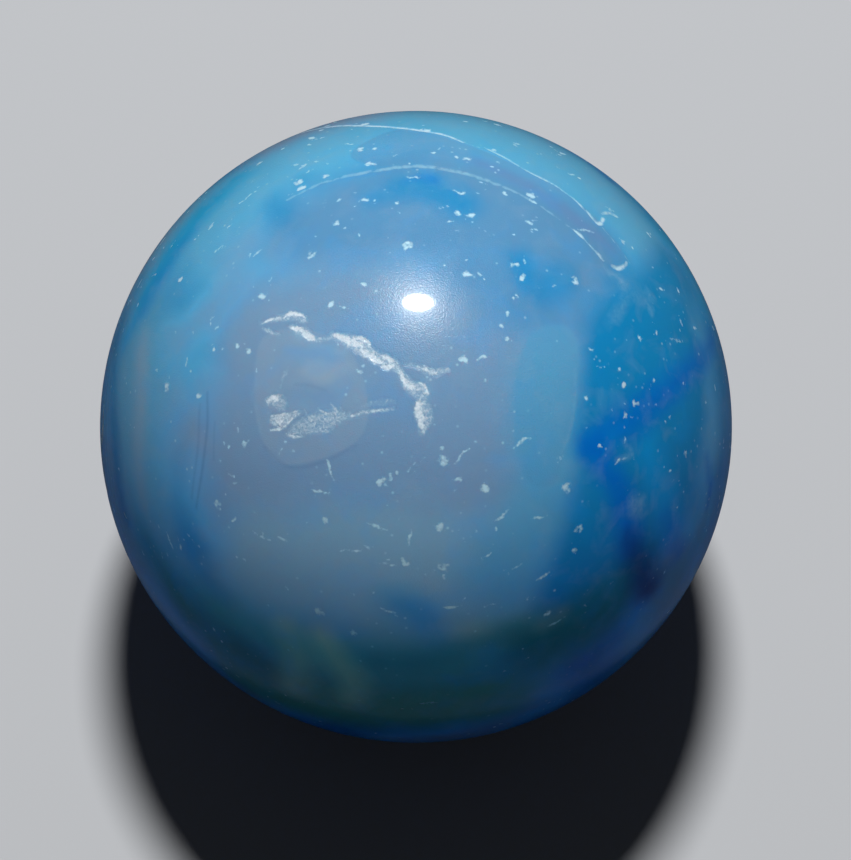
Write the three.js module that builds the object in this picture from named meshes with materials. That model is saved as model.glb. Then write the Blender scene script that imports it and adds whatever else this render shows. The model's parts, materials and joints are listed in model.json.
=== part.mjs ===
// A polished agate sphere: one solid ball of dyed blue chalcedony, with no other parts.
//
// Units are millimetres and +Z is up. The origin is the centre of the ball, so the point
// that it rests on is straight below, at z = -radius. The stone is the same all round, so
// every axis through the origin is an axis of symmetry.

import * as THREE from 'three';
import { mergeVertices } from 'three/addons/utils/BufferGeometryUtils.js';

// Driving dimensions
const BALL_DIAMETER = 60;
const ballRadius = BALL_DIAMETER / 2;

// The ball is a geodesic sphere: each edge of an icosahedron is cut into this many steps.
// An even number puts a vertex exactly on each end of the X, Y and Z axes, so the ball
// measures its full diameter along all three, and rests on a vertex.
const EDGE_STEPS = 14;

// Dyed blue chalcedony, polished to a high gloss
const agate = new THREE.MeshStandardMaterial({
  name: 'agate',
  color: 0x4f86b4,
  roughness: 0.08,
  metalness: 0,
});

function makeAgateSphere() {
  const geometry = new THREE.IcosahedronGeometry(ballRadius, EDGE_STEPS - 1);
  geometry.deleteAttribute('normal');
  geometry.deleteAttribute('uv');
  const closed = mergeVertices(geometry);
  closed.computeVertexNormals();

  const mesh = new THREE.Mesh(closed, agate);
  mesh.name = 'agate_sphere';
  return mesh;
}

const ball = new THREE.Group();
ball.name = 'polished_agate_sphere';
ball.add(makeAgateSphere());

export default ball;
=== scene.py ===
"""The looks of a polished ball of dyed blue agate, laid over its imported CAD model."""

import json
import math
from collections import namedtuple

import bmesh
import bpy
import numpy as np
from bpy.props import FloatProperty, FloatVectorProperty, IntProperty, PointerProperty
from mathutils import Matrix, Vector, noise

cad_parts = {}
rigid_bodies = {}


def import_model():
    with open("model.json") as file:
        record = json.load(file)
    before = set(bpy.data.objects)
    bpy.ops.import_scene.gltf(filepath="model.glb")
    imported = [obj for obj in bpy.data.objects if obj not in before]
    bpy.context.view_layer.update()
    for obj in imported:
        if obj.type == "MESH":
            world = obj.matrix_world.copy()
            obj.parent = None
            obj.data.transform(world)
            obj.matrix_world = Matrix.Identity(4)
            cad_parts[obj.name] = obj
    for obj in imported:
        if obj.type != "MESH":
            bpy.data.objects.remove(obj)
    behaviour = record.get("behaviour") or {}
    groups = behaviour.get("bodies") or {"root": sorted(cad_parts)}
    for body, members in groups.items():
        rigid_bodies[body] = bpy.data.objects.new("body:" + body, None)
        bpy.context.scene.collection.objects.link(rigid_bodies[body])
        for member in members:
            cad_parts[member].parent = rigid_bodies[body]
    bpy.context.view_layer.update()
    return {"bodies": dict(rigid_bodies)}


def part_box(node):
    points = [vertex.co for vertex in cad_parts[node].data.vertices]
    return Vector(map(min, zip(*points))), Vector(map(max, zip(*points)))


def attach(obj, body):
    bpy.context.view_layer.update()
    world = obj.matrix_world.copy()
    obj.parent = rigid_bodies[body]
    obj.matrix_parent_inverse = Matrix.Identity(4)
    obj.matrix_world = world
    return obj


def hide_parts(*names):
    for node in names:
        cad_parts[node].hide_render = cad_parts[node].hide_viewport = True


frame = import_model()

bl_info = {
    "name": "Polished agate ball",
    "version": (1, 0, 0),
    "blender": (4, 5, 0),
    "location": "3D View > Sidebar > Agate",
    "description": "Makes a ball of dyed blue agate, with its vein, cracks and flakes, and a stage",
    "category": "Object",
}

MM = 0.001
BALL_NODE = "agate_sphere"
BODY = next(iter(frame["bodies"]))
ball_low, ball_high = (Vector(corner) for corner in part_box(BALL_NODE))
CENTRE = (ball_low + ball_high) / 2
RADIUS = (ball_high.z - ball_low.z) / 2 / MM


def linear(sheet_colour):
    """Turns an sRGB hex colour into the linear values that Blender works in."""
    parts = [int(sheet_colour[i : i + 2], 16) / 255 for i in (1, 3, 5)]
    return [c / 12.92 if c <= 0.04045 else ((c + 0.055) / 1.055) ** 2.4 for c in parts]


def facing(azimuth, elevation):
    """Right, up and out for someone who looks at the ball from there. Azimuth 0 looks along +Y."""
    a, e = math.radians(azimuth), math.radians(elevation)
    right = np.array((math.cos(a), math.sin(a), 0.0))
    out = np.array((math.sin(a) * math.cos(e), -math.cos(a) * math.cos(e), math.sin(e)))
    return np.array((right, np.cross(out, right), out))


# ---------------------------------------------------------------------------------------
# What is in the stone, laid out on the faces of the ball. A face is the ball seen square on
# from one side, and a point on it is (east, north) in millimetres from the middle. The camera
# looks at the show face.
# ---------------------------------------------------------------------------------------

FACES = {
    "show": facing(0, 67.6),
    "back": facing(180, 12),
    "left": facing(-95, -12),
    "right": facing(95, -15),
    "under": facing(15, -62),
}

# A stroke of one of the stone's colours, along (east, north, width), and a patch of one inside
# an outline. Strength is how far it covers what is under it, and soft is how far its edge
# fades, in millimetres.
Stroke = namedtuple("Stroke", "face colour strength soft points")
Patch = namedtuple("Patch", "face colour strength soft outline")

# Painted in this order: broad grounds first, then the pools of dye and the clear windows
COLOURING = [
    Stroke("show", "sky", 1.0, 4.0, [(-22, 17, 13), (-11, 25, 13), (2, 28, 13), (13, 25, 13),
        (20, 19, 10)]),
    Stroke("show", "sea", 1.0, 3.5, [(-26, 8, 9), (-26, -2, 10), (-24, -11, 10)]),
    Stroke("show", "slate", 1.0, 3.0, [(-9, 18, 10), (-2, 20, 12), (7, 20, 12), (15, 15.5, 9)]),
    Stroke("show", "mist_green", 1.0, 4.0, [(-17, -17, 9), (-6, -20, 12), (6, -20, 12), (14, -18, 8)]),
    Stroke("show", "milky", 1.0, 3.0, [(-12, 7, 14), (-3, 9, 14), (5, 5, 13)]),
    Stroke("show", "milky", 1.0, 3.0, [(-13, -3, 14), (-2, -3, 16), (6, -3, 12)]),
    Stroke("show", "slate", 0.9, 3.0, [(4, 14, 7), (11, 12, 8), (16, 10, 5)]),
    Stroke("show", "misty", 1.0, 3.5, [(-13, -13, 12), (-4, -13, 14), (4, -13, 11)]),
    Stroke("show", "sage", 1.0, 3.5, [(-15, -24, 9), (-4, -26, 10), (7, -25, 9)]),
    Stroke("show", "sea", 0.9, 2.5, [(11.5, 4, 7), (11.5, -4, 7), (8, -13, 7)]),
    # Along the upper right edge: azure dye with a painted blue rim glow laid into it
    Stroke("show", "azure_dye_and_rim_glow", 0.9, 2.5, [(18, 24, 4), (23.5, 18, 6), (27, 11.5, 6)]),
    Stroke("show", "blue", 1.0, 2.0, [(24.5, 14, 6), (23, 10.5, 9), (22, 5.5, 17), (21.5, -1, 18),
        (20, -7, 15), (15, -14, 10)]),
    Stroke("show", "petrol", 0.9, 3.0, [(11, -20, 7), (17, -17, 7), (21, -13, 4)]),
    Stroke("show", "azure_dye_and_rim_glow", 0.5, 1.6, [(21.5, -2, 3), (22.8, -6, 3.5), (23.8, -9.5, 3)]),
    Stroke("show", "teal", 1.0, 3.0, [(-25, -11, 2), (-22, -16, 5), (-18, -20, 6), (-14, -23, 4)]),
    Patch("show", "slate", 0.55, 0.12, [(-6, 25.2), (-3, 27.2), (0, 27.6), (5, 26), (10.1, 23.7),
        (14, 21.4), (17, 18.7), (19.6, 15.2), (18.4, 14.5), (16, 16.2), (13.1, 19.1), (9.7, 21.1),
        (5.6, 22.8), (-0.2, 23.9), (-4, 24)]),
    Stroke("show", "mauve", 0.7, 0.9, [(6, 24.4, 1.2), (11, 22.1, 1.8), (15, 18.8, 1.8), (18, 15.8, 0.8)]),
    # Pools of blue at the top, at the left edge and low on the front. The bands of azure and blue that run
    # along the left and right edges of this face are partly painted light: besides the dye, they paint the
    # blue glow that the translucent stone shows at its rim.
    Stroke("show", "blue", 0.75, 1.9, [(-13.2, 20.3, 2), (-12, 19.4, 2.6)]),
    Stroke("show", "blue", 0.5, 1.2, [(-10.2, 22.8, 1.8), (-9.4, 23.2, 1.4)]),
    Stroke("show", "blue", 0.8, 1.5, [(-3.6, 21.3, 1.8), (0, 21.9, 3), (4, 20.8, 3)]),
    Stroke("show", "royal", 0.6, 0.7, [(-0.6, 22.3, 0.5), (0.6, 22.5, 0.8), (1.8, 22.2, 1)]),
    Stroke("show", "blue", 0.8, 1.4, [(9.8, 15.2, 2.4), (10.8, 12.8, 2.6), (13.4, 14.2, 2.6)]),
    # Along the upper left edge: azure dye with a painted blue rim glow laid into it
    Stroke("show", "azure_dye_and_rim_glow", 0.9, 2.0, [(-27, 8.5, 2.5), (-25, 12.5, 4.5), (-22, 17.5, 5),
        (-17.5, 22.5, 4)]),
    Stroke("show", "royal", 0.3, 1.8, [(-25.2, 11, 2.4), (-23.6, 14, 3.4), (-21.6, 17, 2.4)]),
    # Painted light: thin bands of blue and azure right at the left and right edges paint the blue glow of
    # the rim
    Stroke("show", "blue", 0.85, 1.2, [(-28.2, 5, 1.6), (-28, 0.5, 2.4), (-27.8, -4, 2.2), (-27, -9, 1.6)]),
    Stroke("show", "azure_dye_and_rim_glow", 0.45, 1.2, [(-29, 6, 1.2), (-29.4, 0, 1.4), (-28.6, -7, 1.6),
        (-26.4, -13, 1.2)]),
    Stroke("show", "azure_dye_and_rim_glow", 0.4, 1.4, [(29, 4, 1.2), (29.2, -3, 1.6), (27.6, -10, 1.8), (25.4, -14, 1.2)]),
    Stroke("show", "blue", 0.35, 1.4, [(-21, -3, 1.6), (-21, -9, 2.4), (-19.2, -13, 2.2),
        (-17.6, -15.5, 1.6)]),
    Stroke("show", "sea", 0.95, 1.8, [(-2, -15.8, 2), (0.4, -17, 4), (2.4, -18.6, 3)]),
    Stroke("show", "blue", 0.35, 1.4, [(-1, -16.6, 1.6), (1, -17.4, 2.4)]),
    Stroke("show", "petrol", 0.3, 1.6, [(-3, -21, 2), (1, -21, 3), (8.5, -18.5, 2.5)]),
    Stroke("show", "petrol", 0.7, 2.0, [(-16, -20.5, 3), (-13.5, -22.5, 3)]),
    Stroke("show", "frost", 0.5, 1.3, [(-25.2, 8, 1.2), (-25.8, 1, 2), (-25, -7, 1.2)]),
    # The seam where the dye has pooled, which turns back on itself like a hook
    Stroke("show", "royal", 0.95, 1.5, [(27.6, 8.6, 2), (25.6, 5.6, 2.6), (22.8, 2.7, 3), (19.9, 0.7, 3),
        (17.4, -1, 2.8), (16.1, -2, 2.4)]),
    Stroke("show", "royal", 0.95, 1.5, [(16.1, -2, 2.2), (17.2, -3.8, 2.6), (18.6, -5.8, 3),
        (19.2, -8.4, 2.8), (19.8, -10.6, 2.4)]),
    Stroke("show", "royal", 0.6, 1.2, [(24.4, -11.4, 2), (23, -8, 1)]),
    Stroke("show", "navy", 0.85, 1.8, [(19.4, -9.8, 1.4), (20.8, -12.4, 3.4), (21.8, -14.8, 4)]),
    Stroke("show", "royal", 0.8, 0.8, [(26.8, -3.6, 0.6), (27.2, -5.4, 1), (27, -7.4, 0.6)]),
    # Undyed stone, a little brown, shows where the light comes through low on the front
    Stroke("show", "fawn", 0.85, 2.0, [(-11.6, -18.4, 1.8), (-10.4, -21.4, 2.6), (-11.5, -24, 2)]),
    Stroke("show", "fawn", 1.0, 1.8, [(-7.8, -19, 2), (-7, -21, 2.6), (-6, -23, 2.8), (-6.2, -25, 2)]),
    Stroke("show", "fawn", 0.35, 1.6, [(4, -18.8, 1.8), (5.4, -18.6, 1.8)]),
    Stroke("show", "fawn", 0.25, 1.4, [(11.4, -18.2, 1.4), (13, -17.4, 1.4)]),
    # Clear windows in the milky heart
    Patch("show", "frost", 0.32, 0.15, [(-13.8, 8), (-14.5, 4.5), (-14.4, 1), (-13.6, -1.6), (-12, -3.4),
        (-8.8, -3), (-5.6, -1.6), (-4.3, 0.6), (-4.6, 4), (-6.4, 7.4), (-10.4, 8.8)]),
    Stroke("show", "milky", 0.7, 0.6, [(-11.4, 3.2, 0.8), (-9.6, 3.1, 1.2), (-7.6, 2.4, 0.8)]),
    Stroke("show", "frost", 0.6, 0.5, [(-9.8, 5.4, 1.4), (-8, 4.8, 2), (-6.4, 5, 1.2)]),
    Patch("show", "pool", 0.75, 0.3, [(14.4, 8.4), (14.5, 2.4), (13.6, -2), (12.4, -5.2), (10, -4.8),
        (8.9, -1), (9.1, 5), (11, 8.8)]),
    Stroke("show", "slate", 0.7, 0.5, [(8.6, 3.6, 0.6), (9, 2.4, 1.2), (8.4, 1, 0.8)]),
    # The far sides
    Patch("back", "frost", 0.6, 0.8, [(-12, -2), (-8, 4), (-1, 6), (3, 2), (1, -5), (-6, -8)]),
    Stroke("back", "royal", 0.95, 1.2, [(-18, 9, 1.5), (-10, 3, 2), (-4, 4, 1.2), (3, -2, 2),
        (11, -3, 1.5), (18, -9, 1)]),
    Stroke("back", "milky", 0.9, 3.0, [(6, 10, 6), (12, 8, 8)]),
    Stroke("left", "royal", 0.9, 1.5, [(-12, -10, 2), (-4, -6, 3), (5, -9, 2.5), (12, -5, 1.5)]),
    Stroke("left", "milky", 0.9, 3.0, [(-4, 6, 7), (5, 3, 9)]),
    Stroke("left", "fawn", 0.4, 1.5, [(8, 8, 2), (10, 4, 3)]),
    Stroke("right", "milky", 0.95, 3.0, [(-2, -8, 6), (6, -10, 9)]),
    Stroke("right", "navy", 0.8, 1.2, [(-6, 3, 1.5), (-1, 1, 2), (4, 4, 2.5), (11, 2, 1)]),
    Stroke("under", "milky", 0.95, 3.5, [(-6, -4, 9), (3, 3, 11), (9, 2, 6)]),
    Stroke("under", "fawn", 0.5, 2.0, [(-3, 0, 3), (3, 1, 4)]),
    Stroke("under", "royal", 0.9, 1.3, [(-16, 9, 1.5), (-8, 11, 2.5), (0, 14, 1.5), (8, 12, 2)]),
]

# A mark is a line along (east, north, width), and its strength is how bright it is, up to 1
Mark = namedtuple("Mark", "face strength soft points")

# Quartz crystals that line an old crack, in a boot-shaped loop that is broken in places. Each
# length has a soft bed of small crystals, with lumps of larger ones on it.
VEIN = [
    Mark("show", 0.60, 0.30, [(-13.9, 9.4, 0.3), (-12.6, 9.7, 0.7), (-11.2, 10, 0.9), (-10, 9.6, 0.7)]),
    Mark("show", 0.95, 0.16, [(-13.8, 9.4, 0.2), (-13.1, 9.7, 0.4), (-12.2, 9.9, 0.2)]),
    Mark("show", 1.00, 0.16, [(-11.9, 9.9, 0.3), (-11.3, 10.2, 0.5), (-10.6, 10.1, 0.4),
        (-9.9, 9.8, 0.25)]),
    Mark("show", 0.80, 0.20, [(-13.8, 8.9, 0.2), (-13.2, 8.6, 0.35), (-12.2, 8.3, 0.15)]),
    Mark("show", 0.60, 0.30, [(-11.2, 9, 0.6), (-10, 8.4, 1), (-8.9, 7.8, 0.6), (-7.6, 8, 0.5)]),
    Mark("show", 1.00, 0.18, [(-11, 8.9, 0.45), (-10.4, 8.8, 0.6), (-10.1, 8.5, 0.3)]),
    Mark("show", 1.00, 0.18, [(-10, 8.3, 0.5), (-9.5, 8.1, 0.7), (-9, 7.8, 0.3)]),
    Mark("show", 0.65, 0.30, [(-7.4, 8.2, 0.7), (-5.4, 7.5, 1.5), (-3.8, 6.4, 1.3), (-2.2, 5.7, 1.1),
        (-1.2, 4.8, 0.7)]),
    Mark("show", 1.00, 0.20, [(-7.2, 8.2, 0.4), (-6.6, 8, 0.7), (-5.6, 7.5, 0.8), (-4.9, 7.2, 0.5)]),
    Mark("show", 1.00, 0.20, [(-5.6, 8, 0.3), (-4.8, 7.9, 0.5), (-4.2, 7.4, 0.4)]),
    Mark("show", 1.00, 0.20, [(-5, 6.9, 0.3), (-4.3, 6.6, 0.6), (-3.6, 6.1, 0.8), (-3.1, 5.8, 0.5)]),
    Mark("show", 1.00, 0.20, [(-3.3, 6.4, 0.3), (-2.5, 6.2, 0.55), (-2, 5.8, 0.4)]),
    Mark("show", 1.00, 0.18, [(-2.9, 5.4, 0.4), (-2.5, 5.3, 0.55), (-2, 5.5, 0.4)]),
    Mark("show", 0.65, 0.28, [(-1.6, 5.3, 0.6), (-0.9, 4.2, 1), (0, 3.3, 1.5), (0.9, 3.1, 1)]),
    Mark("show", 1.00, 0.18, [(-1.5, 5.1, 0.3), (-1.1, 4.4, 0.5), (-0.7, 3.8, 0.6), (-0.1, 3.4, 0.4)]),
    Mark("show", 0.95, 0.15, [(0.2, 4, 0.2), (0.8, 3.6, 0.4), (1.2, 2.9, 0.25)]),
    Mark("show", 0.60, 0.28, [(0.4, 2.7, 0.8), (0.7, 1.4, 1.7), (0.8, 0.5, 1.4), (0.6, -0.5, 0.7)]),
    Mark("show", 1.00, 0.22, [(0.4, 2.1, 0.6), (0.3, 1.3, 0.9), (0.5, 0.6, 0.8), (0.5, -0.1, 0.4)]),
    Mark("show", 0.65, 0.25, [(-0.9, 5.6, 0.2), (0.3, 5.4, 0.5), (1.5, 4.9, 0.8), (2.9, 5.1, 0.4)]),
    Mark("show", 0.85, 0.18, [(-0.1, 5.4, 0.15), (0.7, 5.2, 0.3), (1.6, 4.8, 0.35), (2.3, 4.8, 0.2)]),
    Mark("show", 0.60, 0.30, [(-13.3, 2.3, 0.8), (-12.3, 2.2, 1.5), (-11.8, 1.8, 0.7)]),
    Mark("show", 1.00, 0.20, [(-13.3, 2.4, 0.35), (-12.8, 2.7, 0.55), (-12.5, 2.4, 0.6)]),
    Mark("show", 0.50, 0.20, [(-11.4, 5.6, 0.12), (-11.8, 4.6, 0.35), (-12.2, 3.5, 0.15)]),
    Mark("show", 0.70, 0.20, [(-12.8, 0.6, 0.9), (-12.1, 0.5, 1.4), (-11.2, 0.9, 0.8), (-10.3, 1.3, 0.15)]),
    Mark("show", 1.00, 0.14, [(-13, 1, 0.2), (-11.7, 1.15, 0.22), (-10.3, 1.4, 0.15)]),
    Mark("show", 1.00, 0.14, [(-10.4, 1.3, 0.15), (-11.3, 0.4, 0.25), (-12.2, -0.2, 0.3),
        (-13.1, -0.4, 0.25)]),
    Mark("show", 0.95, 0.16, [(-12.9, 0.5, 0.3), (-12.2, 0.6, 0.4), (-11.9, 0.3, 0.3)]),
    Mark("show", 0.58, 0.35, [(-11.4, -0.5, 0.6), (-10.2, 0, 1.6), (-8.6, 0.4, 2), (-7.2, 0.8, 1.5),
        (-6, 1, 0.7)]),
    Mark("show", 0.85, 0.18, [(-11.6, -0.6, 0.25), (-10.9, -0.9, 0.35), (-10, -0.8, 0.2)]),
    Mark("show", 0.85, 0.18, [(-8.9, -0.2, 0.2), (-8.2, -0.4, 0.3), (-7.4, -0.2, 0.2), (-7.1, 0.3, 0.15)]),
    Mark("show", 0.85, 0.14, [(-10, 1.6, 0.1), (-9.7, 1.1, 0.25), (-9.4, 0.8, 0.15)]),
    Mark("show", 0.90, 0.14, [(-8.9, 1.8, 0.1), (-8.3, 1.3, 0.3), (-7.7, 1, 0.15)]),
    Mark("show", 0.90, 0.14, [(-7.6, 2.1, 0.1), (-7.1, 1.5, 0.3), (-6.7, 0.9, 0.15)]),
    Mark("show", 0.80, 0.14, [(-6.9, 1.9, 0.1), (-6.5, 1.4, 0.2), (-6.2, 1, 0.15)]),
    Mark("show", 0.80, 0.20, [(-5.8, 0.9, 0.4), (-4.6, 1.3, 0.35), (-3.2, 1.5, 0.35), (-1.9, 1.6, 0.2)]),
    Mark("show", 0.40, 0.30, [(-4.6, 1.9, 0.4), (-3.2, 2.2, 0.8), (-2, 2.2, 0.6)]),
    Mark("back", 0.60, 0.30, [(-9, -12, 0.5), (-6, -11, 1.6), (-3.5, -12.5, 1.1), (0, -12, 1.8),
        (2.5, -13.5, 0.6)]),
    Mark("back", 1.00, 0.20, [(-8, -11.8, 0.3), (-6, -11.2, 0.8), (-4.4, -12, 0.3)]),
    Mark("back", 1.00, 0.20, [(-2, -12, 0.4), (-0.4, -12.3, 0.9), (1, -12.8, 0.4)]),
    Mark("left", 0.60, 0.30, [(3, 12, 0.5), (5, 10.5, 1.4), (5.5, 8, 0.9), (8, 6.5, 1.6), (9, 4.5, 0.5)]),
    Mark("left", 1.00, 0.20, [(4.4, 11, 0.4), (5.1, 9.6, 0.7), (5.3, 8.4, 0.3)]),
    Mark("under", 0.60, 0.30, [(-12, 6, 0.4), (-9, 7.5, 1.4), (-6, 7, 0.9), (-4, 8.5, 1.5), (-2, 8, 0.6)]),
    Mark("under", 1.00, 0.20, [(-5.2, 7.6, 0.4), (-4, 8.3, 0.8), (-3, 8.4, 0.4)]),
]

# Cracks that have healed to a thin white line, and the fainter edge of the layer below them
CRACKS = [
    Mark("show", 0.95, 0.12, [(-12, 27.4, 0.15), (-9, 28.1, 0.25), (-4.5, 28.1, 0.3), (0, 27.6, 0.35),
        (2.6, 27.1, 0.3), (4.4, 26.3, 0.15)]),
    Mark("show", 0.45, 0.12, [(4.4, 26.3, 0.12), (5.6, 25.9, 0.1), (6.6, 25.7, 0.12)]),
    Mark("show", 0.90, 0.10, [(6.4, 25.8, 0.12), (8, 25, 0.2), (10.1, 23.7, 0.14), (11.9, 22.8, 0.28),
        (12.8, 22.3, 0.1), (14.8, 20.8, 0.2), (15.6, 19.9, 0.12)]),
    Mark("show", 0.95, 0.14, [(15.7, 19.9, 0.15), (16.4, 19.1, 0.35), (16.9, 18.7, 0.45),
        (17.3, 19.2, 0.3)]),
    Mark("show", 0.85, 0.16, [(17.2, 19.7, 0.2), (17.9, 19.8, 0.35), (18.6, 19.5, 0.3)]),
    Mark("show", 0.35, 0.12, [(17.2, 18.3, 0.12), (18.6, 16.6, 0.1), (19.7, 15, 0.08)]),
    Mark("show", 0.36, 0.30, [(-11.8, 20.8, 0.15), (-8.2, 22.5, 0.3), (-4, 23.4, 0.4), (0, 23.9, 0.45),
        (4.2, 23.3, 0.45), (7.5, 22.2, 0.4)]),
    Mark("show", 0.32, 0.25, [(7.5, 22.2, 0.35), (10.8, 20.6, 0.25), (13.1, 19, 0.15), (14.6, 17.9, 0.12)]),
    Mark("show", 1.00, 0.12, [(14.5, 18, 0.12), (15, 17.6, 0.35), (15.4, 17.2, 0.15)]),
    Mark("show", 0.85, 0.12, [(15.4, 17.2, 0.1), (16.2, 16.3, 0.14), (16.9, 15.6, 0.3),
        (17.2, 15.2, 0.15)]),
    Mark("show", 0.90, 0.16, [(18, 14.7, 0.25), (18.6, 14.5, 0.4), (19.2, 14.8, 0.3), (19.4, 15.1, 0.15)]),
    Mark("back", 0.85, 0.12, [(8, 6, 0.1), (5, 4, 0.25), (1, 2, 0.15), (-4, 1, 0.3), (-7, -4, 0.15),
        (-13, -6, 0.1)]),
    Mark("right", 0.70, 0.12, [(-8, 3, 0.15), (-2, 5, 0.3), (4, 4, 0.15), (9, 7, 0.25), (13, 6, 0.1)]),
    Mark("under", 0.60, 0.12, [(2, -14, 0.1), (6, -9, 0.25), (12, -7, 0.2), (16, -2, 0.1)]),
]

# Pale veils under the surface, and the bright edges of the windows
VEILS = [
    Mark("show", 0.55, 0.6, [(17.4, 14.4, 0.3), (18.8, 13.3, 0.7), (20.2, 11.8, 0.4)]),
    Mark("show", 0.65, 0.5, [(20.6, 13, 0.3), (21.4, 11.8, 0.6), (21.6, 10.4, 0.3)]),
    Mark("show", 0.45, 0.4, [(19.4, 11.7, 0.2), (18.5, 10.4, 0.3), (17.2, 9.2, 0.2)]),
    Mark("show", 0.35, 0.3, [(18.2, -3.1, 0.3), (19.6, -2.6, 0.5), (19, -1.4, 0.3)]),
    Mark("show", 0.40, 0.5, [(19.6, -6.6, 0.6), (20.6, -7.4, 0.8), (19.2, -7.8, 0.3)]),
    Mark("show", 0.30, 0.5, [(23.6, -7, 0.3), (24, -9, 0.6), (23.4, -10.6, 0.3)]),
    Mark("show", 0.30, 0.25, [(-14.4, 5.6, 0.1), (-14.6, 2.4, 0.15), (-13.9, -1, 0.1)]),
    Mark("show", 0.35, 0.20, [(-10.4, 5.9, 0.1), (-9, 5.9, 0.15), (-7.9, 5.6, 0.1)]),
    Mark("show", 0.30, 0.30, [(-7.4, 5.6, 0.15), (-6.4, 6.6, 0.2), (-6.2, 7.2, 0.1)]),
    Mark("show", 0.30, 0.25, [(14.5, 5, 0.1), (14.3, 1.6, 0.15), (13.2, -2.2, 0.1)]),
    Mark("show", 0.35, 0.6, [(1, 4.2, 0.6), (1.2, 2.6, 0.5)]),
    Mark("show", 0.30, 0.5, [(-10.8, 8.2, 0.8), (-8.4, 7.2, 0.5), (-6.4, 6.6, 0.5)]),
]

# Layers of the old geode, cut across by the ball: thin lines, a hair darker than the stone
LAYERS = [
    Mark("show", 0.60, 0.20, [(-18.9, 3.1, 0.12), (-18.9, 0, 0.2), (-19.4, -4, 0.2), (-20, -7.5, 0.12)]),
    Mark("show", 0.40, 0.20, [(-19.6, 2, 0.12), (-19.8, -2, 0.2), (-20.4, -6.5, 0.15)]),
    Mark("show", 0.35, 0.18, [(-18.2, 0.4, 0.1), (-18.3, -3, 0.12)]),
    Mark("show", 0.35, 0.25, [(-13.6, -1.8, 0.1), (-11.4, -3.6, 0.2), (-8.4, -3.2, 0.2),
        (-5.4, -1.7, 0.15)]),
    Mark("show", 0.30, 0.25, [(-10.8, 3.8, 0.1), (-9.4, 3.7, 0.2), (-8, 3.2, 0.1)]),
]

# The shore lines that bands of colour run round
SHORES = [
    Mark("show", 1.0, 2.0, [(-29.4, 6, 0.5), (-29.9, 0, 0.5), (-28.6, -9, 0.5)]),
    Mark("back", 1.0, 2.0, [(-7, -3, 1), (-2, -7, 3), (5, -6, 2), (8, -1, 1)]),
    Mark("under", 1.0, 2.0, [(6, 6, 1), (9, 0, 2), (7, -5, 1)]),
    Mark("left", 1.0, 2.0, [(-6, 2, 1), (-4, 7, 2), (0, 9, 1)]),
]

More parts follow.
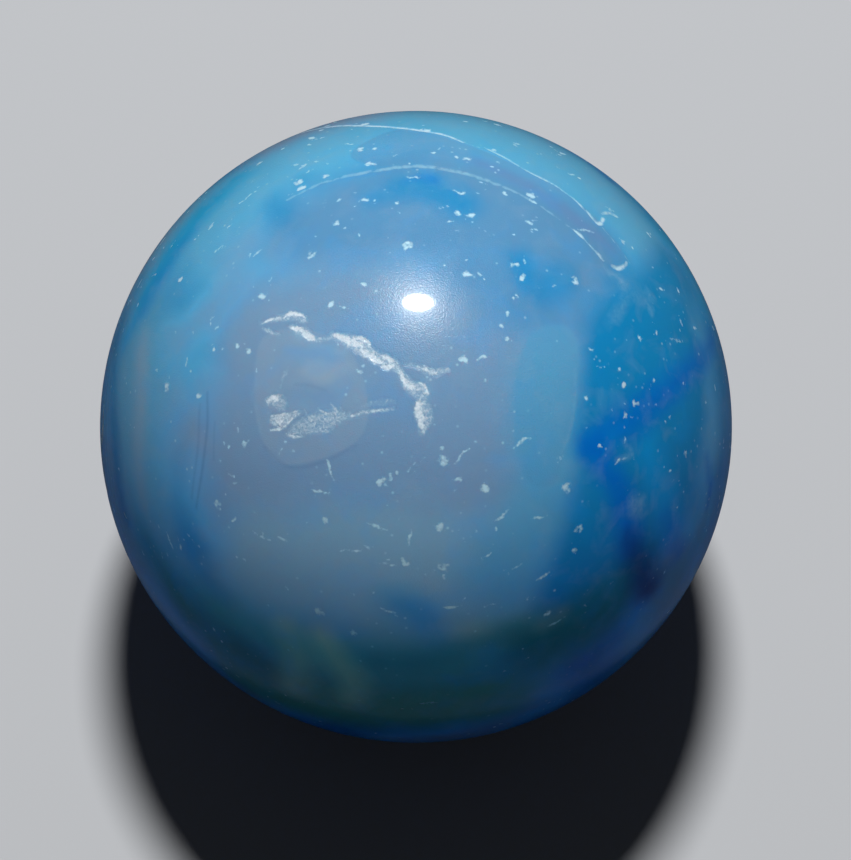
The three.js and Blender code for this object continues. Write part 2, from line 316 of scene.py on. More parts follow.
# Flakes that stand out, in groups of one length and width in millimetres and one strength. Each
# place is (east, north, tilt in degrees).
Flakes = namedtuple("Flakes", "length width strength places")
FLAKES = [
    # Bright and large
    Flakes(1.2, 0.5, 0.90, [(-13.7, 11.9, 65), (-4.8, 20.6, 0), (-10.5, 21.9, 30), (4.1, 21.4, -5),
        (5, 19.2, 60), (10.8, 20.5, -20), (4.8, 13.8, -40), (9.7, 13.5, 80), (-3.1, -5, 45),
        (4.3, 6, -10), (6.2, -5.4, 60), (20, 2.2, -30), (-1, -12.3, -15)]),
    # Large and faint
    Flakes(1.2, 0.6, 0.55, [(-19, 18.5, 15), (-18.1, 16.4, -20), (-9.3, 15.7, -30), (-0.8, 16.5, 20),
        (9, 14.7, -5), (-22.8, 3.6, 60), (-18, -7.1, -10), (-5.6, -18.7, -40), (14.9, -9.3, 60),
        (2.5, -3, 0), (-8.7, -16.8, 0), (2.5, -12.7, 10), (2.4, -9, 90), (13.6, -5.6, 80),
        (14.6, 13.2, 70)]),
    # Middling
    Flakes(0.7, 0.4, 0.80, [(-3.8, 25.7, 0), (-7.2, 18.4, 15), (-7.6, 11, -5), (10.4, 18.6, 0),
        (8.2, 21.3, 5), (21.7, 17.9, -15), (-15.1, 6.8, 60), (-15.4, -1.4, -40), (-2.3, -4.5, 40),
        (-8.2, -8.5, 0), (24.9, -2.6, 85), (18.9, 3.7, 20), (-19.7, 2.7, 5), (14.4, -11.2, 40),
        (12.1, -17, 80)]),
    # Small
    Flakes(0.4, 0.3, 0.75, [(-7, 20.7, 0), (-1.6, 20.4, 10), (3.8, 24.8, 0), (11.1, 17.9, 60),
        (12.5, 12.8, 0), (8.9, 11.6, 30), (8.3, 10.2, 0), (6.3, 4.2, 15), (8.2, 7.9, 0), (20.4, 8.2, 0),
        (21.8, 4.2, 0), (15.4, 2.7, 0), (18.5, 5.3, 85), (19.1, 1, 10), (-1.7, -4.1, 30), (3.9, -4.7, 80),
        (2.4, -1.9, 0), (7.2, -9.1, 10), (-15.2, 15.6, 20), (-20, 17.8, 70), (-16.1, 7.5, 0),
        (-23.8, 5.2, 40), (-4.6, 12.8, 80), (-16.9, -1.9, 0), (2.6, -13.5, -10), (0.9, -13.3, 20),
        (26.9, 2.3, 0), (23.3, -4, 80), (7.7, 9, 0), (-18.3, 7.1, 0)]),
    # Streaks
    Flakes(1.2, 0.2, 0.70, [(-10.6, 23.9, 50), (-6.5, 10.8, -8), (-13.3, 13.2, 55), (-14.4, 15.9, 40),
        (6.1, 17.8, -45), (5.9, 13.6, -45), (24.4, 12.6, -70), (24.6, 9.5, -70), (-28, 7, 75),
        (-22.7, 17, 55), (-25.9, 13.5, 68), (-16.2, 0, -60), (9.9, 15.1, 85), (0.2, 23.3, -5),
        (15.8, 7.1, 0), (16.8, 5.4, 20), (19.8, 0.9, 5), (28.8, -1.5, 80), (-4.5, -10.8, -30),
        (6.7, -16.2, 10), (-12, -10.2, -15), (6, 6.1, 5), (-5, 5, -25), (-20.9, 6, 85), (13, -2.9, 60)]),
    # Wisps
    Flakes(2.2, 0.25, 0.62, [(-3.4, -9, -20), (4.1, -2.6, 45), (0, -3.3, 35), (-7.6, -4, -72),
        (-8.4, -5.8, 5), (7.9, -7.9, 42), (11, -8.2, 0), (6.8, -11.3, 38), (9, -12.8, 38),
        (11.6, -13.5, 30), (-0.4, -9.9, 85), (-2.6, -12.4, 0), (-5.8, -11.2, 5), (-16.6, -8.6, 50),
        (-13.9, -9.9, -20), (-20.4, -10.4, -35), (-22.6, -10.6, -80), (-21.6, -10.9, -85),
        (1.2, -25.4, 8), (3.3, -16.3, 8), (-2.4, -16.8, -35), (-24, 17.3, 55), (-15.6, 21.2, 35),
        (18.6, -3.1, 15), (12.9, -17.8, 20), (9.5, -1.4, 30)]),
]

# The far side has the same groups of flakes, at the same places on its own face
FLAKED_FACES = ("show", "back")

# Where nothing is painted, blue drifts through the stone in lumps of this size in millimetres,
# from milky through sky and blue to royal at these levels
DRIFT_SIZE = 13
DRIFT_LEVELS = (0.1, 0.4, 0.75, 1.1)

# How edges wander: the size of the smooth noise that moves them and how far it reaches, in
# millimetres
STROKE_WANDER = ((9, 1.2), (2.2, 0.3))
RAGGED_WANDER = ((0.9, 0.12), (0.3, 0.06))
VEIL_WANDER = (1.5, 0.25)
CRACK_WANDER = (0.7, 0.06)

# The mesh: how finely the ball starts out, how long edges should be on plain stone and at a
# mark and how fast that grows in between, in millimetres, how much longer an edge may be, and
# how many times the longer ones are split
SUBDIVISIONS = 6
PLAIN_EDGE = 1.0
FINE_EDGE = 0.14
EDGE_GROWTH = 0.5
EDGE_SLACK = 1.5
SPLITTING_ROUNDS = 4

# How closely lines are drawn, half the width of the thinnest line, and how far from a shore
# line its bands reach, in millimetres
LINE_STEP = 0.12
THINNEST_HALF = 0.02
SHORE_REACH = 9.0


def lift(axes, east, north):
    """The point on the ball, in millimetres, that is seen there on the face with those axes."""
    out = math.sqrt(max(RADIUS**2 - east**2 - north**2, 0))
    return np.array((east, north, out)) @ axes


def smooth_step(start, end, values):
    """0 at start and 1 at end, with an even curve between them."""
    t = np.clip((values - start) / (end - start), 0, 1)
    return t * t * (3 - 2 * t)


def curve(knots, step):
    """Points along a smooth curve through all the knots but the first and last, which steer it."""
    rows = []
    for a, b, c, d in zip(knots, knots[1:], knots[2:], knots[3:]):
        count = max(2, int(np.linalg.norm((c - b)[:3]) / step))
        t = np.linspace(0, 1, count, endpoint=False)[:, None]
        square, cube = a - 2.5 * b + 2 * c - d / 2, 1.5 * (b - c) + (d - a) / 2
        rows.append(b + (c - a) / 2 * t + square * t**2 + cube * t**3)
    return np.vstack((*rows, knots[-2:-1]))


class Trail:
    """A line on the ball, as closely spaced points that each have a width."""

    def __init__(self, knots):
        """knots are rows of x, y, z and width."""
        ends = np.vstack((2 * knots[:1] - knots[1:2], knots, 2 * knots[-1:] - knots[-2:-1]))
        line = curve(ends, max(LINE_STEP, knots[:, 3].min() / 6))
        self.half_widths = np.maximum(line[:, 3] / 2, THINNEST_HALF)
        self.points = line[:, :3] * (RADIUS / np.linalg.norm(line[:, :3], axis=1))[:, None]
        self.middle = self.points.mean(axis=0)
        self.reach = np.linalg.norm(self.points - self.middle, axis=1).max() + self.half_widths.max()

    def outside(self, places, limit):
        """Which places are within limit of the line, and how far outside its edge each one is."""
        near = np.flatnonzero(np.linalg.norm(places - self.middle, axis=1) < self.reach + limit)
        gaps = np.full(len(near), np.inf)
        for point, half_width in zip(self.points, self.half_widths):
            gaps = np.minimum(gaps, np.linalg.norm(places[near] - point, axis=1) - half_width)
        return near, gaps


class Outline:
    """A closed outline, drawn on a face as it is seen square on."""

    def __init__(self, axes, corners):
        self.axes = axes
        loop = np.array((corners[-1], *corners, *corners[:2]), float)
        self.line = curve(loop, LINE_STEP * 4)
        self.low, self.high = self.line.min(axis=0), self.line.max(axis=0)

    def outside(self, places, limit):
        """Which places are within limit of the outline, and how far outside it each one is."""
        seen = places @ self.axes.T
        flat = seen[:, :2]
        boxed = (flat > self.low - limit).all(axis=1) & (flat < self.high + limit).all(axis=1)
        near = np.flatnonzero(boxed & (seen[:, 2] > 0))
        flat = flat[near]
        gaps = np.full(len(near), np.inf)
        inside = np.zeros(len(near), bool)
        for start, end in zip(self.line, self.line[1:]):
            side = end - start
            run, rise = side
            along = np.clip((flat - start) @ side / (run**2 + rise**2), 0, 1)
            gaps = np.minimum(gaps, np.linalg.norm(flat - start - along[:, None] * side, axis=1))
            level = (start[1] > flat[:, 1]) != (end[1] > flat[:, 1])
            crossing = start[0] + run * (flat[:, 1] - start[1]) / (rise or 1)
            inside ^= level & (flat[:, 0] < crossing)
        return near, np.where(inside, -gaps, gaps)


def trail(face, points):
    """The trail of a line of (east, north, width) on a face."""
    return Trail(np.array([(*lift(FACES[face], east, north), width) for east, north, width in points]))


# A line or an outline with how strong and how soft it is
Drawn = namedtuple("Drawn", "shape strength soft")


def flake(axes, east, north, length, width, tilt, strength, rng):
    """A flake: a jagged sliver that lies at a tilt to the face's east, and fades at its edge."""
    middle = lift(axes, east, north)
    turn = math.radians(tilt)
    along = axes[0] * math.cos(turn) + axes[1] * math.sin(turn)
    across = axes[1] * math.cos(turn) - axes[0] * math.sin(turn)
    run = np.linspace(-0.5, 0.5, 4) * max(length - width, 0.1)
    sway = rng.normal(0, width * 0.35, 4)
    widths = width * rng.uniform(0.35, 1.3, 4) * (0.5, 1, 1, 0.5)
    knots = np.column_stack((middle + np.outer(run, along) + np.outer(sway, across), widths))
    return Drawn(Trail(knots), strength, 0.06 + 0.3 * width)


def drawn(marks):
    """Each mark with its trail."""
    return [Drawn(trail(mark.face, mark.points), mark.strength, mark.soft) for mark in marks]


def large_flakes(rng):
    """The flakes that stand out, each with a crumb or two beside it."""
    made = []
    for face in FLAKED_FACES:
        axes = FACES[face]
        for length, width, strength, places in FLAKES:
            for east, north, tilt in places:
                made.append(flake(axes, east, north, length, width, tilt, strength, rng))
                for _ in range(rng.integers(0, 3)):
                    beside = np.array((east, north)) * 0.99 + rng.normal(0, 0.6, 2)
                    crumb = rng.uniform(0.12, 0.2)
                    faint = strength * rng.uniform(0.4, 0.8)
                    made.append(flake(axes, *beside, crumb * rng.uniform(1, 3), crumb, tilt, faint, rng))
    return made


def small_flakes(count, rng):
    """Small flakes in loose groups all over the ball."""
    made = []
    while len(made) < count:
        axes = facing(rng.uniform(0, 360), math.degrees(math.asin(rng.uniform(-1, 1))))
        group_tilt = rng.normal(15, 40)
        for _ in range(rng.integers(1, 5)):
            place = rng.normal(0, 1.1, 2)
            width = rng.uniform(0.1, 0.22)
            length = width * rng.uniform(1.5, 5)
            tilt = group_tilt + rng.normal(0, 25)
            made.append(flake(axes, *place, length, width, tilt, rng.uniform(0.3, 0.75), rng))
    return made


def brightest(places, lines):
    """For each place, the strength of the strongest line over it, faded at its soft edge."""
    level = np.zeros(len(places))
    for line in lines:
        near, gaps = line.shape.outside(places, line.soft)
        level[near] = np.maximum(level[near], line.strength * smooth_step(line.soft, -line.soft, gaps))
    return level


def wandered(places, *waves):
    """places, moved by smooth noise of each size and reach, so that edges drawn there look natural."""
    for size, reach in waves:
        places = places + reach * np.array([noise.noise_vector(Vector(p) / size) for p in places])
    return places


def mottled(places, size, octaves=3):
    """Smooth noise from about -1 to 1, whose lumps are about size across."""
    return np.array([noise.fractal(Vector(p) / size, 1.0, 2.0, octaves) for p in places])


def coloured(places, settings):
    """The stone's colour at each place: drifts of blue, with the colouring laid over them."""
    drift = 0.45 + 0.5 * mottled(places, DRIFT_SIZE)
    grounds = np.array((settings.milky, settings.sky, settings.blue, settings.royal))
    stone = np.column_stack([np.interp(drift, DRIFT_LEVELS, channel) for channel in grounds.T])
    cloudy = wandered(places, *STROKE_WANDER)
    for mark in COLOURING:
        if isinstance(mark, Patch):
            shape = Outline(FACES[mark.face], mark.outline)
            near, gaps = shape.outside(places, mark.soft)
        else:
            shape = trail(mark.face, mark.points)
            near, gaps = shape.outside(cloudy, mark.soft)
        cover = mark.strength * smooth_step(mark.soft, -mark.soft, gaps)
        stone[near] += (np.array(getattr(settings, mark.colour)) - stone[near]) * cover[:, None]
    return stone


def split_near(bm, shapes):
    """Splits the ball's long edges, down to the finest at each line and outline."""
    for _ in range(SPLITTING_ROUNDS):
        bm.verts.index_update()
        places = np.array([vertex.co for vertex in bm.verts])
        gaps = np.full(len(places), PLAIN_EDGE / EDGE_GROWTH)
        for shape in shapes:
            near, outside = shape.outside(places, PLAIN_EDGE / EDGE_GROWTH)
            gaps[near] = np.minimum(gaps[near], np.abs(outside))
        wanted = np.clip(FINE_EDGE + EDGE_GROWTH * gaps, FINE_EDGE, PLAIN_EDGE)
        edges = list(bm.edges)
        pairs = np.array([[v.index for v in edge.verts] for edge in edges])
        lengths = np.linalg.norm(places[pairs[:, 0]] - places[pairs[:, 1]], axis=1)
        long = lengths > EDGE_SLACK * wanted[pairs].min(axis=1)
        bmesh.ops.subdivide_edges(bm, edges=[edges[i] for i in np.flatnonzero(long)], cuts=1)
        bmesh.ops.triangulate(bm, faces=[face for face in bm.faces if len(face.verts) > 3])
        for vertex in bm.verts:
            vertex.co *= RADIUS / vertex.co.length


def shore_distance(places):
    """How far each place is from the nearest shore line, up to the reach of its bands."""
    distance = np.full(len(places), SHORE_REACH)
    for line in drawn(SHORES):
        near, gaps = line.shape.outside(places, SHORE_REACH)
        distance[near] = np.minimum(distance[near], gaps)
    return np.clip(distance, 0, SHORE_REACH)


def make_ball(settings):
    """The stone: round and polished, but sunk where the vein, cracks and flakes come to the surface."""
    rng = np.random.default_rng(settings.seed)
    vein, cracks, layers = drawn(VEIN), drawn(CRACKS), drawn(LAYERS)
    flakes = large_flakes(rng) + small_flakes(settings.small_flakes, rng)

    bm = bmesh.new()
    bmesh.ops.create_icosphere(bm, subdivisions=SUBDIVISIONS, radius=RADIUS)
    shapes = [mark.shape for mark in vein + cracks + layers + flakes]
    shapes += [Outline(FACES[mark.face], mark.outline) for mark in COLOURING if isinstance(mark, Patch)]
    split_near(bm, shapes)
    mesh = bpy.data.meshes.new("agate_ball")
    bm.to_mesh(mesh)
    bm.free()

    # What the material reads at each vertex
    places = np.zeros(len(mesh.vertices) * 3)
    mesh.vertices.foreach_get("co", places)
    places = places.reshape(-1, 3)
    ragged = wandered(places, *RAGGED_WANDER)
    marks = {
        "veil": brightest(wandered(places, VEIL_WANDER), drawn(VEILS)),
        "layer": brightest(places, layers),
        "shore": shore_distance(places),
        "vein": brightest(ragged, vein),
        "crack": brightest(wandered(places, CRACK_WANDER), cracks),
        "flake": brightest(ragged, flakes),
    }
    for name, values in marks.items():
        attribute = mesh.attributes.new(name, "FLOAT", "POINT")
        attribute.data.foreach_set("value", values.astype(np.float32))
    stone = np.column_stack((coloured(places, settings), np.ones(len(places))))
    attribute = mesh.attributes.new("stone", "FLOAT_COLOR", "POINT")
    attribute.data.foreach_set("color", stone.astype(np.float32).ravel())

    # The marks are sunk into the stone, with a grit in the vein and the flakes
    grit = mottled(places, settings.crystal_size / MM / 2, 2)
    depth = marks["vein"] * settings.vein_depth / MM * (0.65 + 0.5 * grit)
    depth += marks["crack"] * settings.crack_depth / MM
    depth += marks["flake"] * settings.flake_depth / MM * (0.6 + 0.4 * grit)
    depth = np.clip(depth, 0, None)
    outward = places / RADIUS
    places = (places - outward * depth[:, None]) * MM + np.array(CENTRE)
    mesh.vertices.foreach_set("co", places.ravel())
    mesh.update()

    # Smooth shading would ripple where small faces meet large ones, so plain stone is given
    # the true normals of a ball
    normals = np.zeros(len(mesh.vertices) * 3)
    mesh.vertices.foreach_get("normal", normals)
    rough = smooth_step(0.0, 0.01, depth)[:, None]
    normals = normals.reshape(-1, 3) * rough + outward * (1 - rough)
    mesh.normals_split_custom_set_from_vertices(normals / np.linalg.norm(normals, axis=1)[:, None])

    ball = bpy.data.objects.new("agate_ball", mesh)
    bpy.context.collection.objects.link(ball)
    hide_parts(BALL_NODE)
    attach(ball, BODY)
    return ball


# ---------------------------------------------------------------------------------------
# Materials
# ---------------------------------------------------------------------------------------


def add_node(tree, kind, inputs=(), **settings):
    """Adds a shader node with its settings, and gives its inputs values or links."""
    node = tree.nodes.new("ShaderNode" + kind)
    for name, value in settings.items():
        setattr(node, name, value)
    for name, value in dict(inputs).items():
        if isinstance(value, bpy.types.NodeSocket):
            tree.links.new(value, node.inputs[name])
        else:
            node.inputs[name].default_value = value
    return node


def per_metre(millimetres):
    """The scale of a texture in object space whose lumps are that size."""
    return 1000 / millimetres


# Inputs and outputs of a Mix node that is set to colours
MIX_COLOURS = {"data_type": "RGBA"}
MASK, UNDER, OVER, MIXED = 0, 6, 7, 2

# Inputs of a Map Range node
VALUE, FROM_LOW, FROM_HIGH, TO_LOW, TO_HIGH = range(5)


def dye_masks(tree, where, read):
    """Where the dye is bluer, where the milky wisps are, and where the bands are."""
    # Dye soaks in unevenly: clouds of about 5 mm, in which some stone is bluer, and milky
    # wisps of about 3 mm that drift through it
    clouds = add_node(
        tree, "TexNoise", {"Vector": where, "Scale": per_metre(5), "Detail": 5, "Distortion": 0.4}
    ).outputs["Fac"]
    bluer = add_node(
        tree, "MapRange", {VALUE: clouds, FROM_LOW: 0.5, FROM_HIGH: 0.75, TO_HIGH: 0.2}
    ).outputs[0]
    wisps = add_node(
        tree, "TexNoise", {"Vector": where, "Scale": per_metre(2.6), "Detail": 5, "Distortion": 0.5}
    ).outputs["Fac"]
    milkier = add_node(
        tree, "MapRange", {VALUE: wisps, FROM_LOW: 0.5, FROM_HIGH: 0.75, TO_HIGH: 0.14}
    ).outputs[0]

    # Bands run round each shore line about 1.2 mm apart, bent a little by the clouds, and fade out
    bend = add_node(tree, "Math", {0: clouds, 1: 3.0}, operation="MULTIPLY").outputs[0]
    turns = add_node(
        tree, "Math", {0: read["shore"], 1: 5.2, 2: bend}, operation="MULTIPLY_ADD"
    ).outputs[0]
    wave = add_node(tree, "Math", {0: turns}, operation="SINE").outputs[0]
    fade = add_node(
        tree,
        "MapRange",
        {VALUE: read["shore"], FROM_LOW: SHORE_REACH / 2, FROM_HIGH: SHORE_REACH, TO_LOW: 0.3, TO_HIGH: 0.0},
    ).outputs[0]
    band = add_node(tree, "Math", {0: wave, 1: fade}, operation="MULTIPLY", use_clamp=True).outputs[0]
    return bluer, milkier, band


def veil_masks(tree, where, read):
    """Where the milky, streaked veils are, the fine lines of the layers, and the dust."""
    streaks = add_node(
        tree, "TexNoise", {"Vector": where, "Scale": per_metre(0.7), "Detail": 4, "Distortion": 0.8}
    ).outputs["Fac"]
    streaky = add_node(
        tree, "MapRange", {VALUE: streaks, FROM_LOW: 0.35, FROM_HIGH: 0.65, TO_LOW: 0.45, TO_HIGH: 1.2}
    ).outputs[0]
    veil = add_node(tree, "Math", {0: read["veil"], 1: streaky}, operation="MULTIPLY").outputs[0]
    layer = add_node(tree, "Math", {0: read["layer"], 1: 0.5}, operation="MULTIPLY").outputs[0]

    # Dust: specks of about a quarter of a millimetre, strewn thinly where the noise allows
    cells = add_node(tree, "TexVoronoi", {"Vector": where, "Scale": per_metre(1.2)}).outputs["Distance"]
    speck = add_node(
        tree, "MapRange", {VALUE: cells, FROM_LOW: 0.04, FROM_HIGH: 0.15, TO_LOW: 1.0, TO_HIGH: 0.0}
    ).outputs[0]
    patchy = add_node(
        tree, "TexNoise", {"Vector": where, "Scale": per_metre(4), "Detail": 2}
    ).outputs["Fac"]
    thinly = add_node(
        tree, "MapRange", {VALUE: patchy, FROM_LOW: 0.45, FROM_HIGH: 0.65, TO_HIGH: 0.55}
    ).outputs[0]
    dust = add_node(tree, "Math", {0: speck, 1: thinly}, operation="MULTIPLY").outputs[0]
    return veil, layer, dust


def break_masks(tree, where, read):
    """Where the cracks are, as broken lines, and where the flakes are, which are ragged."""
    breaks = add_node(
        tree, "TexNoise", {"Vector": where, "Scale": per_metre(0.7), "Detail": 3}
    ).outputs["Fac"]
    broken = add_node(
        tree, "MapRange", {VALUE: breaks, FROM_LOW: 0.35, FROM_HIGH: 0.6, TO_LOW: 0.3, TO_HIGH: 1.0}
    ).outputs[0]
    crack = add_node(tree, "Math", {0: read["crack"], 1: broken}, operation="MULTIPLY").outputs[0]
    crack = add_node(tree, "MapRange", {VALUE: crack, FROM_LOW: 0.06, FROM_HIGH: 0.7}).outputs[0]

    crumbly = add_node(
        tree, "TexNoise", {"Vector": where, "Scale": per_metre(0.4), "Detail": 4}
    ).outputs["Fac"]
    ragged = add_node(tree, "Math", {0: crumbly, 1: 2.0, 2: -1.0}, operation="MULTIPLY_ADD").outputs[0]
    ragged = add_node(tree, "Math", {0: read["flake"], 1: ragged}, operation="ADD").outputs[0]
    flake = add_node(tree, "MapRange", {VALUE: ragged, FROM_LOW: 0.15, FROM_HIGH: 0.75}).outputs[0]
    inside = add_node(tree, "MapRange", {VALUE: read["flake"], FROM_HIGH: 0.3}).outputs[0]
    flake = add_node(tree, "Math", {0: flake, 1: inside}, operation="MULTIPLY").outputs[0]
    return crack, flake


def quartz_vein(tree, where, read, settings):
    """The vein is a mass of quartz crystals: clear and grey where it is thin, white on the lumps.

    Gives its colour, where it is, and the fibres that its crystals form.
    """
    fibres = add_node(
        tree,
        "TexNoise",
        {"Vector": where, "Scale": 1 / settings.crystal_size, "Detail": 4, "Distortion": 0.9},
    ).outputs["Fac"]
    grit = add_node(tree, "Math", {0: fibres, 1: 0.5}, operation="SUBTRACT").outputs[0]
    edge = add_node(tree, "Math", {0: grit, 1: 0.6, 2: read["vein"]}, operation="MULTIPLY_ADD").outputs[0]
    vein = add_node(tree, "MapRange", {VALUE: edge, FROM_LOW: 0.2, FROM_HIGH: 0.8}).outputs[0]
    bright = add_node(tree, "Math", {0: grit, 1: 1.6, 2: read["vein"]}, operation="MULTIPLY_ADD").outputs[0]
    bright = add_node(tree, "MapRange", {VALUE: bright, FROM_LOW: 0.4, FROM_HIGH: 1.05}).outputs[0]
    quartz = add_node(
        tree,
        "Mix",
        {MASK: bright, UNDER: (*settings.grey_quartz, 1), OVER: (*settings.white_quartz, 1)},
        **MIX_COLOURS,
    ).outputs[MIXED]
    return quartz, vein, fibres


def dyed_chalcedony(settings):
    """Chalcedony, soaked in blue dye, then ground and polished.

    Light goes deep into it and comes out blue, so the shaded side glows a little, and the polish
    gives one sharp highlight with a faint grain round it from the pits that the polish left.
    """
    material = bpy.data.materials.new("dyed_chalcedony_polished")
    material.use_nodes = True
    tree = material.node_tree
    tree.nodes.clear()
    where = add_node(tree, "TexCoord").outputs["Object"]
    read = {}
    for name in ("veil", "layer", "shore", "vein", "crack", "flake"):
        read[name] = add_node(tree, "Attribute", attribute_name=name).outputs["Fac"]
    bluer, milkier, band = dye_masks(tree, where, read)
    veil, layer, dust = veil_masks(tree, where, read)
    crack, flake = break_masks(tree, where, read)
    quartz, vein, fibres = quartz_vein(tree, where, read, settings)

    colour = add_node(tree, "Attribute", attribute_name="stone").outputs["Color"]
    for mask, over in (
        (bluer, settings.azure_dye_and_rim_glow),
        (milkier, settings.frost),
        (band, settings.blue),
        (veil, settings.veil),
        (layer, settings.navy),
        (dust, settings.flake),
        (crack, settings.flake),
        (flake, settings.flake),
    ):
        colour = add_node(
            tree, "Mix", {MASK: mask, UNDER: colour, OVER: (*over, 1)}, **MIX_COLOURS
        ).outputs[MIXED]
    colour = add_node(
        tree, "Mix", {MASK: vein, UNDER: colour, OVER: quartz}, **MIX_COLOURS
    ).outputs[MIXED]

    # The polish runs over everything but the marks, which are rougher and let less light in
    marked = add_node(tree, "Math", {0: crack, 1: flake}, operation="MAXIMUM").outputs[0]
    marked = add_node(tree, "Math", {0: marked, 1: vein}, operation="MAXIMUM").outputs[0]
    roughness = add_node(tree, "MapRange", {VALUE: marked, TO_LOW: 0.25, TO_HIGH: 0.5}).outputs[0]
    gloss = add_node(tree, "MapRange", {VALUE: marked, TO_LOW: 0.4, TO_HIGH: 0.2}).outputs[0]
    glow = add_node(tree, "MapRange", {VALUE: marked, TO_LOW: 1.0, TO_HIGH: 0.2}).outputs[0]

    # The pits that the polish left in plain stone are a few hundredths of a millimetre across,
    # and are drawn at 0.12 mm so that they show
    grain = add_node(
        tree, "TexNoise", {"Vector": where, "Scale": per_metre(0.12), "Detail": 0}
    ).outputs["Fac"]
    relief = add_node(tree, "Math", {0: fibres, 1: vein}, operation="MULTIPLY").outputs[0]
    relief = add_node(tree, "Math", {0: grain, 1: 0.3, 2: relief}, operation="MULTIPLY_ADD").outputs[0]
    bump = add_node(tree, "Bump", {"Strength": 0.5, "Distance": 0.0001, "Height": relief})
    shader = add_node(
        tree,
        "BsdfPrincipled",
        {
            "Base Color": colour,
            "Roughness": roughness,
            "IOR": 1.54,
            "Specular IOR Level": 0.14,
            "Normal": bump.outputs["Normal"],
            "Subsurface Weight": glow,
            "Subsurface Radius": (0.2, 1.0, 1.2),
            "Subsurface Scale": 0.1,
            "Coat Weight": gloss,
            "Coat Roughness": 0.06,
            "Coat IOR": 1.54,
        },
    )
    add_node(tree, "OutputMaterial", {"Surface": shader.outputs["BSDF"]})
    return material


def matt_paper(settings):
    """Heavy studio paper: a pale, even sheet with no shine.

    The ball sees it darker and cooler than the camera does, as if the sheet were flagged off.
    """
    material = bpy.data.materials.new("studio_paper_matt")
    material.use_nodes = True
    tree = material.node_tree
    shader = tree.nodes["Principled BSDF"]
    seen = add_node(tree, "LightPath").outputs["Is Camera Ray"]
    colour = add_node(
        tree,
        "Mix",
        {MASK: seen, UNDER: (*settings.floor_bounce, 1), OVER: (*settings.floor_colour, 1)},
        **MIX_COLOURS,
    )
    tree.links.new(colour.outputs[MIXED], shader.inputs["Base Color"])
    shader.inputs["Roughness"].default_value = 0.95
    shader.inputs["Specular IOR Level"].default_value = 0.2
    return material


# ---------------------------------------------------------------------------------------
# The stage
# ---------------------------------------------------------------------------------------


def make_floor(settings):
    """A round sheet of paper that the ball rests on."""
    bm = bmesh.new()
    bmesh.ops.create_circle(bm, cap_ends=True, segments=96, radius=settings.floor_radius)
    mesh = bpy.data.meshes.new("floor")
    bm.to_mesh(mesh)
    bm.free()
    floor = bpy.data.objects.new("floor", mesh)
    floor.location = (CENTRE.x, CENTRE.y, ball_low.z)
    floor.data.materials.append(matt_paper(settings))
    bpy.context.collection.objects.link(floor)


# Where the key light stands, seen from the ball, in degrees
KEY_AZIMUTH, KEY_ELEVATION = 178.1, 67.9


def place_key_light(settings):
    """An oval softbox behind and above the ball, which faces it."""
    data = bpy.data.lights.new("key_light", "AREA")
    data.shape = "ELLIPSE"
    data.size, data.size_y = settings.key_width, settings.key_height
    data.energy = settings.key_power
    light = bpy.data.objects.new("key_light", data)
    out = Vector(facing(KEY_AZIMUTH, KEY_ELEVATION)[2])
    light.location = CENTRE + out * settings.key_distance
    light.rotation_euler = out.to_track_quat("Z", "Y").to_euler()
    bpy.context.collection.objects.link(light)


def set_world(settings):
    """A dim even fill, which looks pale where the camera sees past the floor."""
    world = bpy.data.worlds.new("studio")
    world.use_nodes = True
    tree = world.node_tree
    background = tree.nodes["Background"]
    background.inputs["Color"].default_value = (*settings.floor_colour, 1)
    seen = add_node(tree, "LightPath").outputs["Is Camera Ray"]
    strength = add_node(tree, "MapRange", {VALUE: seen, TO_LOW: settings.fill, TO_HIGH: 1.0}).outputs[0]
    tree.links.new(strength, background.inputs["Strength"])
    bpy.context.scene.world = world


def place_camera(settings):
    """A long lens that looks square on at the show face."""
    data = bpy.data.cameras.new("camera")
    data.sensor_width = 36
    data.lens = settings.lens
    camera = bpy.data.objects.new("camera", data)
    right, up, out = (Vector(axis) for axis in FACES["show"])
    aim = CENTRE + right * settings.aim_right + up * settings.aim_up
    camera.location = aim + out * settings.camera_distance
    camera.rotation_euler = out.to_track_quat("Z", "Y").to_euler()
    data.clip_start, data.clip_end = 0.01, 50
    bpy.context.collection.objects.link(camera)
    bpy.context.scene.camera = camera


# ---------------------------------------------------------------------------------------
# Settings, operators and panel
# ---------------------------------------------------------------------------------------


def colour_property(name, description, sheet_colour):
    """A colour, given as sRGB hex."""
    colour = linear(sheet_colour)
    return FloatVectorProperty(
        name=name, description=description, subtype="COLOR", size=3, min=0, max=1, default=colour
    )


def length_property(name, description, metres, least=0):
    """A length, given in metres."""
    return FloatProperty(name=name, description=description, default=metres, min=least, unit="LENGTH")


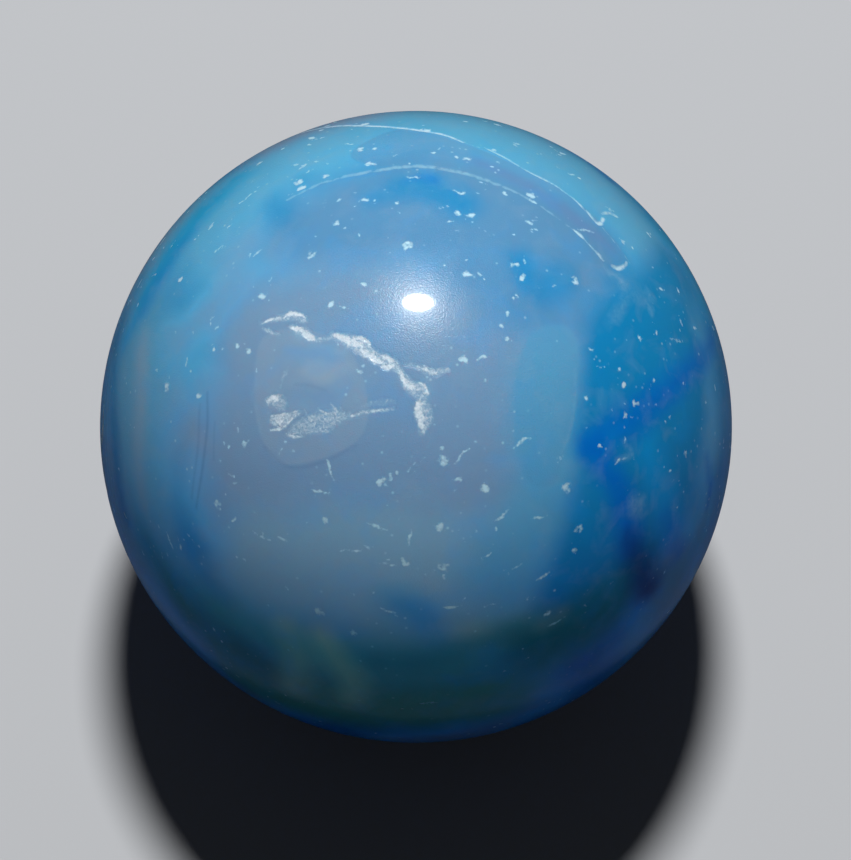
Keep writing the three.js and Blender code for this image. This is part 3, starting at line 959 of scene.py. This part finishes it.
class AgateBallSettings(bpy.types.PropertyGroup):
    """Colours of the stone, and how coarse and deep its marks are."""

    milky: colour_property("Milky stone", "The heart, which took up almost no dye", "#7c97bc")
    misty: colour_property("Misty stone", "Paler stone under the heart", "#87abce")
    frost: colour_property("Frosted stone", "Clear windows and milky threads", "#98a7c0")
    slate: colour_property("Slate blue", "Greyer blue over the heart", "#5e8cba")
    mauve: colour_property("Mauve", "The greyest part of the top layer", "#6785ba")
    sky: colour_property("Sky blue", "Lightly dyed stone at the top", "#5ca7ee")
    sea: colour_property("Sea blue", "Lightly dyed stone at the sides", "#61a2d3")
    pool: colour_property("Window blue", "A clear pool of blue at the right", "#5f9bcb")
    # Azure is clear dye, and it also paints the blue glow that the stone shows along the rim of the show
    # face
    azure_dye_and_rim_glow: colour_property("Azure", "Clear bright dye near the edges", "#0a9cff")
    blue: colour_property("Blue", "Stone dyed right through", "#1684c4")
    royal: colour_property("Royal blue", "Seams where the dye has pooled", "#0270d6")
    navy: colour_property("Navy", "The darkest seams", "#044084")
    teal: colour_property("Teal", "Greener stone low on the left", "#0c8a9a")
    petrol: colour_property("Petrol", "Dark green-blue stone low on the right", "#0c7e8c")
    mist_green: colour_property("Misty green", "Pale stone low on the front", "#6fa2b4")
    sage: colour_property("Sage", "Grey-green stone at the foot", "#519894")
    fawn: colour_property("Fawn", "Undyed brown stone at the foot", "#cabeb8")
    veil: colour_property("Veil", "Milky veils", "#8fb2d8")
    flake: colour_property("Flake", "Cracks and flakes that scatter the light", "#b8dcf2")
    grey_quartz: colour_property("Grey quartz", "Clear crystals of the vein", "#8aaac8")
    white_quartz: colour_property("White quartz", "White crystals of the vein", "#d6e6f4")
    vein_depth: length_property("Vein depth", "How far the vein lies under the polish", 0.14 * MM)
    crack_depth: length_property("Crack depth", "Depth of the groove along each healed crack", 0.08 * MM)
    flake_depth: length_property("Flake depth", "Depth of the pit at each flake", 0.05 * MM)
    crystal_size: length_property("Crystal size", "Width of the vein's quartz grains", 0.3 * MM)
    small_flakes: IntProperty(
        name="Small flakes", description="About how many are strewn over the ball", default=520, min=0
    )
    seed: IntProperty(name="Seed", description="Changes the flakes' shapes and places", default=11)


class AgateStageSettings(bpy.types.PropertyGroup):
    """The floor, light and camera."""

    floor_colour: colour_property("Floor", "Colour of the paper under the ball", "#bcbec1")
    floor_bounce: colour_property("Floor bounce", "How dark and cool the floor looks to the ball", "#394251")
    floor_radius: length_property("Floor radius", "Radius of the paper", 4)
    key_power: FloatProperty(
        name="Key light", description="Power of the key light", default=16, unit="POWER"
    )
    key_distance: length_property("Key distance", "From the ball", 1.2)
    key_width: length_property("Key width", "Width of the key light", 0.20)
    key_height: length_property("Key height", "Height of the key light", 0.12)
    fill: FloatProperty(
        name="Fill", description="Strength of the even light from all round", default=0.04, min=0
    )
    lens: FloatProperty(name="Lens", description="Focal length in millimetres", default=223.6, min=1)
    camera_distance: length_property("Camera distance", "From the ball", 0.508)
    aim_right: length_property("Aim right", "Aims past the ball's centre", 0.0009, least=-1)
    aim_up: length_property("Aim up", "Aims past the ball's centre", -0.0003, least=-1)


class AGATE_OT_make_ball(bpy.types.Operator):
    """Makes the agate ball and its stone"""

    bl_idname = "agate.make_ball"
    bl_label = "Make the ball"

    def execute(self, context):
        settings = context.scene.agate_ball
        ball = make_ball(settings)
        ball.data.materials.append(dyed_chalcedony(settings))
        return {"FINISHED"}


class AGATE_OT_set_stage(bpy.types.Operator):
    """Sets the floor, the light and the camera"""

    bl_idname = "agate.set_stage"
    bl_label = "Set the stage"

    def execute(self, context):
        settings = context.scene.agate_stage
        make_floor(settings)
        place_key_light(settings)
        set_world(settings)
        place_camera(settings)
        context.scene.view_settings.view_transform = "Standard"
        return {"FINISHED"}


class AGATE_PT_panel(bpy.types.Panel):
    """Lists the steps that make the ball"""

    bl_label = "Agate ball"
    bl_idname = "AGATE_PT_panel"
    bl_space_type = "VIEW_3D"
    bl_region_type = "UI"
    bl_category = "Agate"

    def draw(self, context):
        for operator, settings in (
            (AGATE_OT_make_ball, context.scene.agate_ball),
            (AGATE_OT_set_stage, context.scene.agate_stage),
        ):
            self.layout.operator(operator.bl_idname)
            column = self.layout.column()
            for name in settings.bl_rna.properties.keys():
                if name not in ("rna_type", "name"):
                    column.prop(settings, name)


CLASSES = (AgateBallSettings, AgateStageSettings, AGATE_OT_make_ball, AGATE_OT_set_stage, AGATE_PT_panel)


def register():
    for cls in CLASSES:
        bpy.utils.register_class(cls)
    bpy.types.Scene.agate_ball = PointerProperty(type=AgateBallSettings)
    bpy.types.Scene.agate_stage = PointerProperty(type=AgateStageSettings)


def unregister():
    del bpy.types.Scene.agate_stage
    del bpy.types.Scene.agate_ball
    for cls in reversed(CLASSES):
        bpy.utils.unregister_class(cls)


def main():
    """Makes the ball and its stage."""
    register()
    bpy.ops.agate.make_ball()
    bpy.ops.agate.set_stage()


if __name__ == "__main__":
    main()
